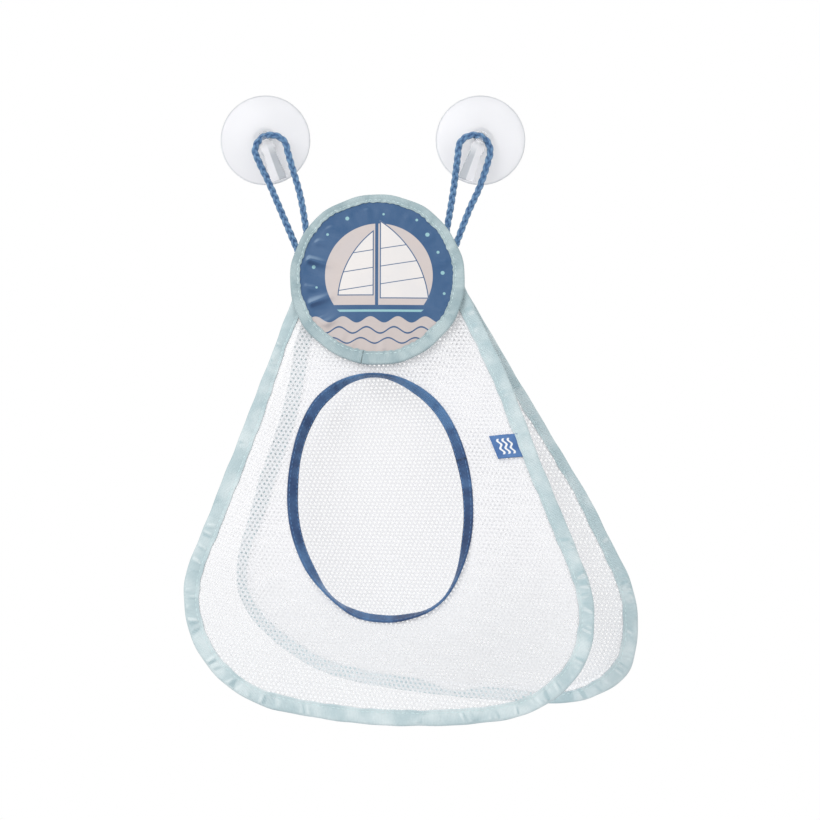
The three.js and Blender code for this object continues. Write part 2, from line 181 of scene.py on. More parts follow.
def seam_at(s):
    """Points of the cut's edge at a run s from the top of its left side, and the directions out of it."""
    s = np.asarray(s, float)
    run = np.minimum(s, SEAM_RUN - s)
    mirror = np.where(s > SEAM_RUN / 2, -1.0, 1.0)
    turn = math.pi + SIDE - (run - SIDE_RUN) / CORNER_R
    low = BOW_END - (run - SIDE_RUN - CORNER_RUN) / BOW_R

    def by_place(side, corner, bow):
        return np.where(run < SIDE_RUN, side, np.where(run < SIDE_RUN + CORNER_RUN, corner, bow))

    x = by_place(-TOP_HALF - run * math.sin(SIDE), -CORNER_X + CORNER_R * np.cos(turn), BOW_R * np.cos(low))
    y = by_place(run * math.cos(SIDE), CORNER_DOWN + CORNER_R * np.sin(turn), BOW_DOWN + BOW_R * np.sin(low))
    out_x = by_place(-math.cos(SIDE), np.cos(turn), np.cos(low))
    out_y = by_place(-math.sin(SIDE), np.sin(turn), np.sin(low))
    return np.stack([mirror * x, y], -1), np.stack([mirror * out_x, out_y], -1)


def inside_seam(a, b):
    """How far inside the cut's edge a point lies."""
    a = np.abs(a)
    to_side = (TOP_HALF + b * math.tan(SIDE) - a) * math.cos(SIDE)
    to_bow = BOW_R - np.hypot(a, b - BOW_DOWN)
    angle = np.arctan2(b - CORNER_DOWN, a - CORNER_X)
    in_corner = (angle > -SIDE) & (angle < math.pi - BOW_END)
    to_corner = CORNER_R - np.hypot(a - CORNER_X, b - CORNER_DOWN)
    return np.minimum(b, np.where(in_corner, to_corner, np.minimum(to_side, to_bow)))


def run_along(line):
    """How long a line is up to each of its points."""
    return np.concatenate([[0], np.cumsum(np.linalg.norm(np.diff(line, axis=0), axis=1))])


def points_at(at, run, line):
    return np.stack([np.interp(at, run, line[:, k]) for k in range(3)], -1)


def centripetal(points, count):
    """Evenly spaced points of a smooth curve through a few points, and its length."""
    p = np.asarray(points, float)
    p = np.concatenate([[2 * p[0] - p[1]], p, [2 * p[-1] - p[-2]]])
    steps = np.sqrt(np.linalg.norm(np.diff(p, axis=0), axis=1))
    out = []
    for i in range(1, len(p) - 2):
        d0, d1, d2 = steps[i - 1 : i + 2]
        before, here, after = np.diff(p[i - 1 : i + 3], axis=0)
        m1 = (before / d0 - (p[i + 1] - p[i - 1]) / (d0 + d1) + here / d1) * d1
        m2 = (here / d1 - (p[i + 2] - p[i]) / (d1 + d2) + after / d2) * d1
        t = np.linspace(0, 1, 40, endpoint=i == len(p) - 3)[:, None]
        h = 2 * t**3 - 3 * t**2
        out.append((h + 1) * p[i] + (t**3 - 2 * t**2 + t) * m1 - h * p[i + 1] + (t**3 - t**2) * m2)
    line = np.concatenate(out)
    run = run_along(line)
    return points_at(np.linspace(0, run[-1], count), run, line), run[-1]


def carried_frames(line):
    """Two sideways directions along a line that do not twist about it."""
    tangent = unit(np.gradient(line, axis=0))
    side = np.zeros_like(line)
    carried = np.array([0.0, 1.0, 0.0])
    for i, t in enumerate(tangent):
        carried = unit(carried - t * (carried @ t))
        side[i] = carried
    return side, np.cross(tangent, side)


def rings_round(line, u, v, radius, sides):
    """Rings of points round each point of a line, in the plane of its directions u and v."""
    angle = (np.arange(sides) * TAU / sides)[:, None]
    ring = np.cos(angle) * u[:, None] + np.sin(angle) * v[:, None]
    return line[:, None] + np.reshape(radius, (-1, 1, 1)) * ring


def tube(line, radius, sides):
    return rings_round(line, *carried_frames(line), radius, sides)


# Meshes and pieces


def quads(n, m, loop):
    """Faces between n rings of m points, and from the last ring to the first where they are a loop."""
    i, j = np.meshgrid(np.arange(n if loop else n - 1), np.arange(m), indexing="ij")
    i2, j2 = (i + 1) % n, (j + 1) % m
    return np.stack([i * m + j, i2 * m + j, i2 * m + j2, i * m + j2], -1).reshape(-1, 4)


def facing(points, faces):
    """1 where four-sided faces look out of their solid, -1 where they look into it."""
    a, b, c, d = points[faces.T]
    volume = np.einsum("ij,ij->i", a, np.cross(b, c)) + np.einsum("ij,ij->i", a, np.cross(c, d))
    return -1 if volume.sum() < 0 else 1


def keep_values(data, values):
    """Values at a mesh's points, by name, for its paint."""
    for key, value in values.items():
        attribute = data.attributes.new(key, "FLOAT", "POINT")
        attribute.data.foreach_set("value", np.asarray(value, np.float32).ravel())


def linked(name, data, material):
    """An object of the scene with a smooth mesh of one material."""
    data.polygons.foreach_set("use_smooth", np.ones(len(data.polygons), bool))
    data.materials.clear()
    data.materials.append(material)
    piece = bpy.data.objects.new(name, data)
    scene.collection.objects.link(piece)
    return piece


def new_piece(name, points, faces, material, values=None):
    """A piece from points in millimetres and a list of faces."""
    data = bpy.data.meshes.new(name)
    data.from_pydata((points * MM).tolist(), [], faces)
    keep_values(data, values or {})
    data.update()
    data.validate()
    return linked(name, data, material)


def skin(name, runs, material, values=None, loop=False):
    """One mesh over runs of rings, each turned outwards and closed at both ends, unless it is a loop. Values
    are spread over all its points."""
    points, sides, ends, start = [], [], [], 0
    shape = (len(runs), *runs[0].shape[:2])
    values = {key: np.broadcast_to(value, shape) for key, value in (values or {}).items()}
    for rings in runs:
        n, m = rings.shape[:2]
        flat = rings.reshape(-1, 3)
        faces = quads(n, m, loop)
        turn = facing(flat, faces)
        points.append(flat)
        sides.append(faces[:, ::turn] + start)
        if not loop:
            ends += [start + np.arange(m)[::turn], start + (n - 1) * m + np.arange(m)[::-turn]]
        start += n * m
    faces = np.concatenate(sides).tolist() + [end.tolist() for end in ends]
    return new_piece(name, np.concatenate(points), faces, material, values)


def settle(piece, body, node=None):
    """Puts a piece on its body, in place of a node of the drawing or beside it."""
    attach(piece, body)
    if node:
        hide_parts(node)
    return piece


# Materials

SOCKETS = dict(
    colour="Base Color",
    rough="Roughness",
    specular="Specular IOR Level",
    sheen="Sheen Weight",
    sheen_rough="Sheen Roughness",
    alpha="Alpha",
    clear="Transmission Weight",
    ior="IOR",
)


def linear(r, g, b):
    """Screen colour from 0 to 255 as a shader colour."""
    c = np.array([r, g, b]) / 255
    return [float(v) for v in np.where(c <= 0.04045, c / 12.92, ((c + 0.055) / 1.055) ** 2.4)] + [1.0]


class Graph:
    """Nodes of a material or a world, with short names for the sums that patterns are made of. A shape in a
    pattern is a value that is below nought inside the shape's edge."""

    def __init__(self, owner):
        owner.use_nodes = True
        self.tree = owner.node_tree

    def set(self, socket, value):
        """Gives a socket another one's output, a screen colour or a number."""
        if isinstance(value, bpy.types.NodeSocket):
            self.tree.links.new(value, socket)
        else:
            socket.default_value = linear(*value) if isinstance(value, tuple) else value

    def node(self, kind, **sockets):
        made = self.tree.nodes.new(kind)
        for key, value in sockets.items():
            self.set(made.inputs[key], value)
        return made

    def math(self, operation, *values):
        made = self.tree.nodes.new("ShaderNodeMath")
        made.operation = operation
        for socket, value in zip(made.inputs, values):
            self.set(socket, value)
        return made.outputs[0]

    def add(self, a, b):
        return self.math("ADD", a, b)

    def less(self, a, b):
        return self.math("SUBTRACT", a, b)

    def times(self, a, b):
        return self.math("MULTIPLY", a, b)

    def sine(self, x, length, shift=0.0):
        return self.math("SINE", self.add(self.times(x, TAU / length), shift))

    def far(self, x, y):
        return self.math("SQRT", self.add(self.times(x, x), self.times(y, y)))

    def band(self, x, half):
        return self.less(self.math("ABSOLUTE", x), half)

    def both(self, *shapes):
        return reduce(lambda a, b: self.math("MAXIMUM", a, b), shapes)

    def either(self, *shapes):
        return reduce(lambda a, b: self.math("MINIMUM", a, b), shapes)

    def step(self, x, low, high):
        made = self.node("ShaderNodeMapRange", **{"Value": x, "From Min": low, "From Max": high})
        made.interpolation_type = "SMOOTHSTEP"
        return made.outputs[0]

    def mix(self, share, a, b):
        made = self.tree.nodes.new("ShaderNodeMix")
        made.data_type = "RGBA"
        for index, value in ((0, share), (6, a), (7, b)):
            self.set(made.inputs[index], value)
        return made.outputs[2]

    def coats(self, colour, *coats):
        """A colour with coats over it, each its share, its strength and its own colour."""
        for share, strength, coat in coats:
            colour = self.mix(self.times(share, strength), colour, coat)
        return colour


class Paint(Graph):
    """A material, with short names for what its shader takes and for what its patterns are made from."""

    def __init__(self, name, **looks):
        self.material = bpy.data.materials.new(name)
        super().__init__(self.material)
        self.shader = self.tree.nodes["Principled BSDF"]
        self.where = self.node("ShaderNodeTexCoord").outputs["Object"]
        self.spot = self.node("ShaderNodeSeparateXYZ", Vector=self.where).outputs
        self.put(**looks)

    def put(self, **looks):
        for key, value in looks.items():
            self.set(self.shader.inputs[SOCKETS[key]], value)

    def value(self, name):
        made = self.tree.nodes.new("ShaderNodeAttribute")
        made.attribute_name = name
        return made.outputs["Fac"]

    def noise(self, scale, detail):
        return self.node("ShaderNodeTexNoise", Vector=self.where, Scale=scale, Detail=detail).outputs["Fac"]

    def bump(self, height, depth):
        made = self.node("ShaderNodeBump", Height=height, Strength=1.0, Distance=depth * MM)
        self.set(self.shader.inputs["Normal"], made.outputs["Normal"])


def tape_cloth(name, base, light, dark, rib, depth, rough, sheen):
    """Ribbed tape: ribs across it, slow changes of tone, painted shade in the grooves between its ribs, and
    painted light and shade on the sides of its folds.
    """
    g = Paint(name, rough=rough, sheen=sheen, sheen_rough=0.4)
    ribs = g.sine(g.value("along"), rib)
    slope = g.value("slope")
    tone = g.mix(g.step(g.noise(55, 3), 0.32, 0.7), dark, light)
    # Painted shade in the rib grooves, and painted light and shade on the sides of folds, by the value slope
    colour = g.coats(
        g.mix(0.4, tone, base),
        (g.less(1.0, g.step(ribs, -1.0, 0.2)), 0.22, dark),
        (g.step(slope, 0.04, 0.4), 0.7, light),
        (g.step(slope, -0.04, -0.4), 0.7, dark),
    )
    g.put(colour=colour)
    yarn = g.times(g.noise(2600, 1), 0.9)
    g.bump(g.add(g.add(ribs, g.times(g.sine(g.value("across"), 1.1), 0.15)), yarn), depth)
    return g.material


def net_look(name, colour, foot):
    """White knitted thread, fine enough to let much of the light through, and greyer towards the bag's foot
    as painted shade.
    """
    g = Paint(name, rough=0.7, alpha=0.45, specular=0.3)
    g.put(colour=g.mix(g.step(g.spot[2], -0.35, -0.25), foot, colour))
    g.bump(g.noise(3400, 2), 0.02)
    return g.material


def cord_look():
    """Shiny plaited yarn, with a painted highlight on the crowns of its strands and painted shade where they
    meet and in the grooves of its twist.
    """
    g = Paint("cord", rough=0.5, sheen=0.2, sheen_rough=0.4)
    crown = g.value("crown")
    twist = g.sine(g.value("along"), 0.9, g.times(g.value("across"), 2.0))
    mid = g.mix(g.step(g.noise(420, 2), 0.3, 0.72), (58, 97, 142), (92, 133, 171))
    colour = g.coats(
        g.mix(g.step(crown, 0.6, 1.6), (28, 55, 95), mid),
        (g.step(crown, 1.7, 2.4), 0.4, (140, 174, 200)),
        (g.step(twist, 0.4, -1.0), 0.16, (38, 72, 122)),
    )
    g.put(colour=colour)
    g.bump(g.add(twist, g.times(g.noise(4200, 2), 0.8)), 0.05)
    return g.material


def plain_cloth(name, colour, shade):
    g = Paint(name, rough=0.8)
    g.put(colour=g.mix(g.step(g.noise(70, 3), 0.3, 0.7), shade, colour))
    g.bump(g.noise(1500, 2), 0.05)
    return g.material


def thread_look(name, colour):
    g = Paint(name, rough=0.6, colour=colour)
    g.bump(g.noise(6000, 1), 0.04)
    return g.material


def clear_look(name, tint, rough, ior, veil, shade):
    """Clear moulded plastic with a milky veil. veil(g) is the veil's share and shade(g) how grey it is."""
    g = Paint(name, rough=rough, clear=1.0, ior=ior, specular=0.25)
    grey = shade(g)
    g.put(colour=g.mix(grey, tint, (205, 209, 213)))
    g.bump(g.noise(260, 2), 0.015)
    milk = g.node("ShaderNodeBsdfPrincipled", Roughness=0.5)
    g.set(milk.inputs["Base Color"], g.mix(grey, (240, 240, 244), (186, 191, 197)))
    g.set(milk.inputs["Specular IOR Level"], 0.2)
    both = g.node("ShaderNodeMixShader")
    for index, part in enumerate((veil(g), g.shader.outputs[0], milk.outputs[0])):
        g.set(both.inputs[index], part)
    g.set(g.tree.nodes["Material Output"].inputs["Surface"], both.outputs[0])
    return g.material


def rim_shade(g):
    """Painted shade: the cup's thin rim, which looks grey seen edge on, is painted grey all round."""
    off = g.less(g.math("ABSOLUTE", g.spot[0]), CUP_X * MM)
    return g.times(g.step(g.far(off, g.spot[2]), 28.7 * MM, 29.6 * MM), 0.6)


def leaf_veil(g):
    return g.times(g.value("leaf"), 0.55)


AQUA = [(199, 213, 216), (218, 229, 231), (164, 188, 194)]
HEAD_AQUA = [(166, 185, 189), (190, 206, 208), (138, 161, 168)]
NAVY = [(54, 88, 136), (88, 130, 176), (31, 57, 99)]
tape_look = tape_cloth("binding_tape", *AQUA, 0.95, 0.09, 0.62, 0.25)
head_tape_look = tape_cloth("head_tape", *HEAD_AQUA, 0.95, 0.09, 0.62, 0.25)
webbing_look = tape_cloth("webbing", *NAVY, 0.85, 0.14, 0.55, 0.06)
# One net in three copies: the back's is darker as painted shade inside the bag, the gusset's paler as painted
# light
front_mesh = net_look("mesh", (231, 231, 233), (218, 219, 221))
# where it faces away from the lamps
back_mesh = net_look("back_mesh", (222, 222, 225), (221, 222, 225))
side_mesh = net_look("side_mesh", (248, 248, 249), (240, 241, 243))
cord_blue = cord_look()
backing_cloth = plain_cloth("head_backing", (230, 232, 235), (224, 227, 231))
aqua_thread = thread_look("aqua_thread", (206, 226, 228))
blue_thread = thread_look("blue_thread", (96, 138, 186))
tack_thread = thread_look("tack_thread", (52, 84, 130))
cup_clear = clear_look("clear_pvc", (246, 247, 249), 0.4, 1.46, lambda g: 0.34, rim_shade)
# The hook's leaf is painted grey on its inner facet, as painted shade
hook_clear = clear_look("clear_plastic", (253, 254, 255), 0.12, 1.15, leaf_veil, lambda g: g.value("facet"))

# Cord loops: three plaited strands along the same route as the drawing's

CORD_ROUTES = {
    "left": [
        (-48, -16.9, -78.7), (-52.2, -14, -69), (-60.5, -12.8, -49.5), (-68.8, -13, -29.9),
        (-76.1, -13.3, -14.6), (-78.1, -13.5, -8.8), (-76.7, -13.5, -3.4), (-72.7, -13.5, 0.6),
        (-67.3, -13.5, 2), (-61.9, -13.5, 0.6), (-57.9, -13.5, -3.4), (-56.5, -13.5, -8.8),
        (-52.9, -13.2, -21.2), (-48.2, -12.9, -37.8), (-44.9, -12.9, -56), (-43.2, -15.2, -69.5),
    ],
    "right": [
        (48, -15, -68.5), (49.4, -13.1, -59.8), (52, -12.8, -45), (54.3, -13, -29.9),
        (56.4, -13.4, -13), (57.9, -13.5, -3.4), (61.9, -13.5, 0.6), (67.3, -13.5, 2),
        (72.7, -13.5, 0.6), (76.7, -13.5, -3.4), (78.1, -13.5, -8.8), (76.4, -13.3, -16.4),
        (71.1, -13, -32.4), (64.2, -12.8, -47.6), (57.5, -13.4, -65), (52.8, -16.8, -78.4),
    ],
}
CORD_LENGTH = 0.171
PLAIT_TURN = 15.6
PLAIT_WIDE = 1.2
PLAIT_DEEP = 0.75
STRAND_R = 1.16
STRAND_STEP = 0.45
STRAND_SIDES = 12
TACK_AT = (0.5, 1.2, 1.9, 2.6)
TACK_R = 0.3
TACK_WIDE = 2.65
TACK_HIGH = 2.2
TACK_FOOT = 2.8
TACK_DEEP = 2.6


def plaited_cord(name, node, route):
    count = int(CORD_LENGTH / MM / STRAND_STEP)
    line, run = centripetal(route, count)
    deep, wide = carried_frames(line)
    s = np.linspace(0, run, count)
    strands = []
    for k in range(3):
        phase = TAU * (s / PLAIT_TURN + k / 3)[:, None]
        middle = line + PLAIT_WIDE * np.sin(phase) * wide + PLAIT_DEEP * np.sin(2 * phase) * deep
        strands.append(tube(middle, STRAND_R, STRAND_SIDES))
    values = {
        "along": s[:, None],
        "across": np.arange(STRAND_SIDES) * TAU / STRAND_SIDES,
        "crown": [np.linalg.norm(rings - line[:, None], axis=2) for rings in strands],
    }
    piece = skin(name, strands, cord_blue, values)
    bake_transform(piece)
    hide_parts(node)


def cord_tacks(name, route):
    """Threads over each end of a cord that hold it to the back of the head."""
    count = 400
    line, run = centripetal(route, count)
    tangent = np.gradient(line, axis=0)
    off = np.array([0, math.cos(FRONT["lean"]), -math.sin(FRONT["lean"])])
    angle = np.radians(np.linspace(-105, 105, 15))[:, None]
    threads = []
    for step in TACK_AT:
        near = round(step / run * (count - 1))
        for i in (near, count - 1 - near):
            across = unit(np.cross(tangent[i], off))
            arc = line[i] + TACK_WIDE * np.sin(angle) * across + TACK_HIGH * np.cos(angle) * off
            feet = line[i] - TACK_DEEP * off + np.array([[-TACK_FOOT], [TACK_FOOT]]) * across
            threads.append(tube(np.concatenate([feet[:1], arc, feet[1:]]), TACK_R, 6))
    settle(skin(name, threads, tack_thread), "bag")


for side, route in CORD_ROUTES.items():
    plaited_cord(f"plait_{side}", f"cord_{side}", route)
    cord_tacks(f"tack_{side}", route)

# Open knitted net of the panels and the gusset

NET_PITCH = 3.0
NET_HOLE = 0.47
NET_THICK = 0.34
SIDE_HOLE = 0.64
SIDE_THICK = 0.12
NET_TURN = math.radians(4)
NET_IN = 3.2
NET_BOX = ((-135, 0), (135, 306))


def net_cells(low, high, keep, turn):
    """Centres of the net's cells inside a box of the cloth that keep() takes."""
    row = NET_PITCH * math.sqrt(3) / 2
    n = int(np.hypot(*(np.subtract(high, low))) / row) + 2
    i, j = np.meshgrid(np.arange(-n, n), np.arange(-n, n), indexing="ij")
    x = (i + (j % 2) / 2) * NET_PITCH
    y = j * row
    middle = np.add(low, high) / 2
    a = middle[0] + x * math.cos(turn) - y * math.sin(turn)
    b = middle[1] + x * math.sin(turn) + y * math.cos(turn)
    taken = (a > low[0]) & (a < high[0]) & (b > low[1]) & (b < high[1])
    a, b = a[taken], b[taken]
    held = keep(a, b)
    return np.stack([a[held], b[held]], -1)


def net_mesh(name, cells, turn, lay, trim, seed, material, share=NET_HOLE, thick=NET_THICK):
    """Rounded strands round six-sided holes. lay(a, b, out) gives where a point of the cloth hangs."""
    draw = np.random.default_rng(seed)
    angle = math.radians(30) + np.arange(6) * TAU / 6 + turn
    spoke = circle(angle)
    corner = (cells[:, None] + spoke * NET_PITCH / math.sqrt(3)).reshape(-1, 2)
    hole = (cells[:, None] + spoke * (share * NET_PITCH / math.sqrt(3))).reshape(-1, 2)
    keys = np.round(corner / (NET_PITCH * 0.05)).astype(np.int64)
    _, first, index = np.unique(keys, axis=0, return_index=True, return_inverse=True)
    index = index.reshape(-1, 6)
    knots = corner[first]
    knots = trim(knots + draw.normal(0, 0.05, knots.shape))
    hole = trim(hole + draw.normal(0, 0.03, hole.shape))
    k = len(knots)
    half = thick / 2 * (1 + draw.normal(0, 0.08, k))
    points = np.concatenate([lay(*knots.T, half), lay(*knots.T, -half), lay(*hole.T, np.zeros(len(hole)))])
    rim = 2 * k + np.arange(len(hole)).reshape(-1, 6)
    after, rim_after = np.roll(index, -1, 1), np.roll(rim, -1, 1)
    top = np.stack([index, after, rim_after, rim], -1).reshape(-1, 4)
    under = np.stack([index + k, rim, rim_after, after + k], -1).reshape(-1, 4)
    a, b = index.ravel(), after.ravel()
    _, place, uses = np.unique(
        np.sort(np.stack([a, b], -1), -1), axis=0, return_inverse=True, return_counts=True
    )
    alone = uses[place.ravel()] == 1
    wall = np.stack([a, a + k, b + k, b], -1)[alone]
    faces = np.concatenate([top, under, wall])
    piece = new_piece(name, points, faces[:, :: facing(points, faces)].tolist(), material)
    ends = np.empty(2 * len(piece.data.edges), np.int32)
    piece.data.edges.foreach_get("vertices", ends)
    sharp = piece.data.attributes.new("sharp_edge", "BOOLEAN", "EDGE")
    sharp.data.foreach_set("value", (ends.reshape(-1, 2) >= 2 * k).all(1))
    piece.visible_shadow = False
    return piece


# How the mouth's webbing turns as it goes round: the angle clockwise from its right, how far its outer edge
# pulls off the cut, how much of its width shows, and how much painted sheen its ribs are given
MOUTH_TURNS = np.array(
    [
        (0, 0.1, 6.8, -0.5), (20, 1.6, 6.6, -0.7), (30, 1.9, 4.6, -0.2), (40, 2.7, 2.8, 0.3),
        (50, 3.3, 2.2, 0.4), (60, 2.5, 2.9, 0), (72, 0.5, 5.3, -0.6), (90, -1.0, 6.2, 0.3),
        (108, -0.3, 6.1, 0.5), (121, -1.4, 3.0, 0.2), (130, -1.2, 3.7, 0.9), (140, -0.2, 6.7, 0.5),
        (165, 0, 7.3, -0.3), (185, -0.7, 7.4, -0.2), (200, -0.6, 6.5, -0.7), (215, 1.0, 7.0, -0.7),
        (230, 2.8, 7.7, -0.3), (241, 2.5, 7.0, 0), (250, 1.3, 4.4, 0.8), (260, 0.5, 2.9, 0.6),
        (272, -0.1, 2.2, -0.4), (282, 0, 3.6, 0.6), (292, 0.2, 5.5, 1.0), (310, 1.2, 6.7, 0.9),
        (325, 0.6, 6.8, 0.6), (340, 0.2, 7.6, -0.6),
    ]
)


def mouth_turn(angle, column):
    """A column of that list at any angle, eased between its rows."""
    ease = np.hanning(9)[1:-1]
    at = np.degrees(angle)[..., None] + np.linspace(-6, 6, 7)
    value = np.interp(at, MOUTH_TURNS[:, 0], MOUTH_TURNS[:, column], period=360)
    return value @ (ease / ease.sum())


def mouth_share(points):
    """How far out points lie, as a share of the way from the mouth's middle to its edge."""
    x, y = ((points - MOUTH_AT) / MOUTH_HALF).T
    angle = np.arctan2(y, x)
    reach = np.hypot(*(MOUTH_HALF * circle(angle)).T)
    return np.hypot(x, y) / (1 + (mouth_turn(angle, 1) - 1) / reach)


def trim_mouth(points):
    """Points of the net that lie inside the mouth move out to its edge."""
    share = mouth_share(points)[:, None]
    out = 1 / np.clip(share, 1e-6, 1)
    return np.where(share < 1, MOUTH_AT + (points - MOUTH_AT) * out, points)


def untrimmed(points):
    return points


def keep_front(a, b):
    return keep_back(a, b) & (mouth_share(np.stack([a, b], -1)) > 1.002)


def keep_back(a, b):
    return inside_seam(a, b) > NET_IN


def panel_net(name, plane, body, node, keep, trim, turn, seed, material):
    cells = net_cells(*NET_BOX, keep, turn)
    piece = net_mesh(name, cells, turn, lambda a, b, out: on_cloth(plane, a, b, out), trim, seed, material)
    return settle(piece, body, node), cells


front_net, front_cells = panel_net(
    "front_net", FRONT, "bag", "front_panel", keep_front, trim_mouth, NET_TURN, 3, front_mesh
)
back_net, back_cells = panel_net(
    "back_net", BACK, "back", "back_panel", keep_back, untrimmed, -NET_TURN, 4, back_mesh
)

# Gusset: the strip between the two seams, with its edges inside the tapes

GUSSET_FROM = 13 / math.cos(SIDE)
GUSSET_EDGE = 6.5
GUSSET_TURN = 11.2
GUSSET_OUT = 0.9
GUSSET_WIDE = 95
GUSSET_IN = 1.6


def gusset_line(s):
    """Four points across the strip at each run s, from the front seam to the back seam, and their steps."""
    at, outward = seam_at(s)
    rows = []
    for plane, inset, out in (
        (FRONT, GUSSET_EDGE, -GUSSET_OUT),
        (FRONT, GUSSET_TURN, -GUSSET_OUT),
        (BACK, GUSSET_TURN, GUSSET_OUT),
        (BACK, GUSSET_EDGE, GUSSET_OUT),
    ):
        p = at - outward * inset
        rows.append(on_cloth(plane, p[:, 0], p[:, 1], np.full(len(p), out)))
    steps = np.diff(rows, axis=0)
    return rows[0], steps, np.linalg.norm(steps, axis=2)


def gusset_point(s, w):
    """The strip at a run s and a width w from its front edge, slack and rippled between the seams."""
    first, steps, spans = gusset_line(s)
    share = np.clip((w - (np.cumsum(spans, axis=0) - spans)) / spans, 0, 1)
    point = first + (share[..., None] * steps).sum(0)
    slack = 0.05 * spans[1] * (1 + 0.5 * np.sin(s / 23)) + 0.7 * np.sin(s / 6.5 + 1.3 * np.sin(s / 31))
    _, outward = seam_at(s)
    away = np.stack([outward[:, 0], np.zeros(len(s)), -outward[:, 1]], -1)
    return point - (slack * np.sin(math.pi * share[1]))[:, None] * away


def lay_gusset(s, w, out):
    step = 0.5
    along = gusset_point(s + step, w) - gusset_point(s - step, w)
    across = gusset_point(s, w + step) - gusset_point(s, w - step)
    normal = np.cross(along, across)
    length = np.linalg.norm(normal, axis=1)[:, None]
    return gusset_point(s, w) + out[:, None] * normal / np.maximum(length, 1e-9)


def keep_gusset(s, w):
    _, _, spans = gusset_line(s)
    return (w > GUSSET_IN) & (w < spans.sum(0) - GUSSET_IN)


gusset_cells = net_cells((GUSSET_FROM, 0), (SEAM_RUN - GUSSET_FROM, GUSSET_WIDE), keep_gusset, NET_TURN)
gusset_net = net_mesh(
    "gusset_net", gusset_cells, NET_TURN, lay_gusset, untrimmed, 5, side_mesh, SIDE_HOLE, SIDE_THICK
)
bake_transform(gusset_net)
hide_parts("gusset")

# Tape folded over the seams

STITCH_GAP = 0.9
STITCH_SHAPE = np.array([[0.0, 0.02], [0.12, 0.75], [0.5, 1.0], [0.88, 0.75], [1.0, 0.02]])
TAPE_FOLD = [(0.85, 1.0), (0.35, 0.82), (0.06, 0.45), (0.0, 0.0), (0.06, -0.45), (0.35, -0.82), (0.85, -1.0)]
TAPE_RUN = [1.9, 3.1, 4.3, 5.5, 6.5, 7.3, 7.8, 8.3, 8.9, 9.5, 9.85]
TAPE_INSIDE = [(TAPE_W - 0.1, 9), (8, 8), (1.4, 0)]
TAPE_T = 0.42
TAPE_STEP = 0.9
SEAM_PINCH = 0.55
SEAM_STITCH = 8.0


def sew(name, rows, start, length, radius, thread, body):
    """Short rounded stitches as one piece. Each row is a line on the cloth and the same line above it."""
    stitches = []
    for line, above in rows:
        run = run_along(line)
        for first in np.arange(start, run[-1] - length, length + STITCH_GAP):
            at = first + STITCH_SHAPE[:, 0] * length
            middle = points_at(at, run, line)
            up = unit(points_at(at, run, above - line))
            side = np.cross(unit(np.gradient(middle, axis=0)), up)
            stitches.append(rings_round(middle, side, 0.7 * up, radius * STITCH_SHAPE[:, 1], 6))
    settle(skin(name, stitches, thread), body)


def tape_section(low, high, pinch):
    """Outline of a folded tape: inset, out, and layer, 1 on the front face, -1 on the back, 0 in the fold."""
    middle, half = (low + high) / 2, (high - low) / 2

    def face(x, layer):
        return middle + layer * half - layer * pinch * float(smooth(x, 3.0, 8.0))

    def inside(layer):
        edge = (TAPE_W, face(9, layer) - layer * 0.15, layer)
        return [edge] + [(x, face(at, layer) - layer * TAPE_T, layer) for x, at in TAPE_INSIDE]

    outline = [(x, face(x, 1), 1) for x in reversed(TAPE_RUN)]
    outline += [(x, middle + half * y, 0) for x, y in TAPE_FOLD]
    outline += [(x, face(x, -1), -1) for x in TAPE_RUN]
    return np.array(outline + inside(-1) + inside(1)[::-1])


def cross_folds(s, inset, places, seed):
    """Sharp little folds lying across a tape, each with its own slant, width and height."""
    draw = np.random.default_rng(seed)
    total = np.zeros((len(s), len(inset)))
    for place in places:
        slant = draw.uniform(-0.45, 0.45)
        width = draw.uniform(0.9, 2.3)
        height = draw.uniform(0.4, 1.1) * draw.choice([1, 1, -0.7])
        side = draw.choice([0.0, 3.5, 7.0])
        far = (s[:, None] - place - slant * inset) / width
        total = total + height * np.exp(-(far**2)) * bell(inset, side, 5)
    return total


